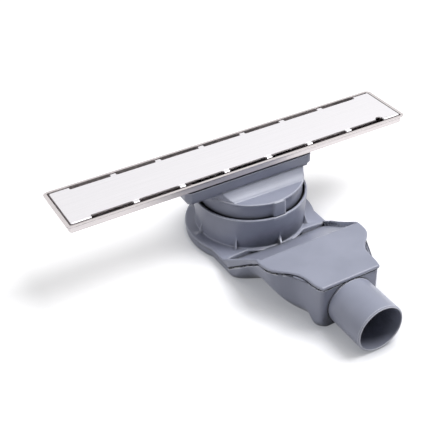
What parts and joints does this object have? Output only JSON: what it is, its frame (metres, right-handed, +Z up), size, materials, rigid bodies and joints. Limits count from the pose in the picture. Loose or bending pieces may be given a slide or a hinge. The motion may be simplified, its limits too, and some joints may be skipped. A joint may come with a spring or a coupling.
{
  "type": "linear shower drain",
  "caption": "Low stainless shower channel with a notched cover, over a grey plastic trap with a horizontal outlet spigot.",
  "frame": {"origin": "under the axis of the trap's round cup, on the floor that the trap stands on", "axes": "+X along the channel, -Y the way the outlet spigot points, +Z up"},
  "size_m": [0.3894, 0.2965, 0.0991],
  "materials": {
    "cover_steel": "fine satin",
    "channel_steel": "satin",
    "screw_steel": "bright",
    "grey_plastic": "satin moulded",
    "insert_plastic": "satin moulded",
    "gasket_rubber": "matt",
    "buffer_rubber": "matt"
  },
  "bodies": {
    "root": {"cover_grate": "cover_steel", "cover_buffers": "buffer_rubber", "channel_tray": "channel_steel", "collar_gasket": "gasket_rubber", "clamp_frame": "channel_steel", "clamp_screws": "screw_steel", "outlet_adapter": "grey_plastic", "skirt_o_ring": "gasket_rubber", "funnel_seal": "gasket_rubber", "dip_funnel": "insert_plastic", "seal_cup": "insert_plastic", "hair_strainer": "insert_plastic", "trap_upper_shell": "grey_plastic", "trap_lower_shell": "grey_plastic"}
  },
  "joints": []
}
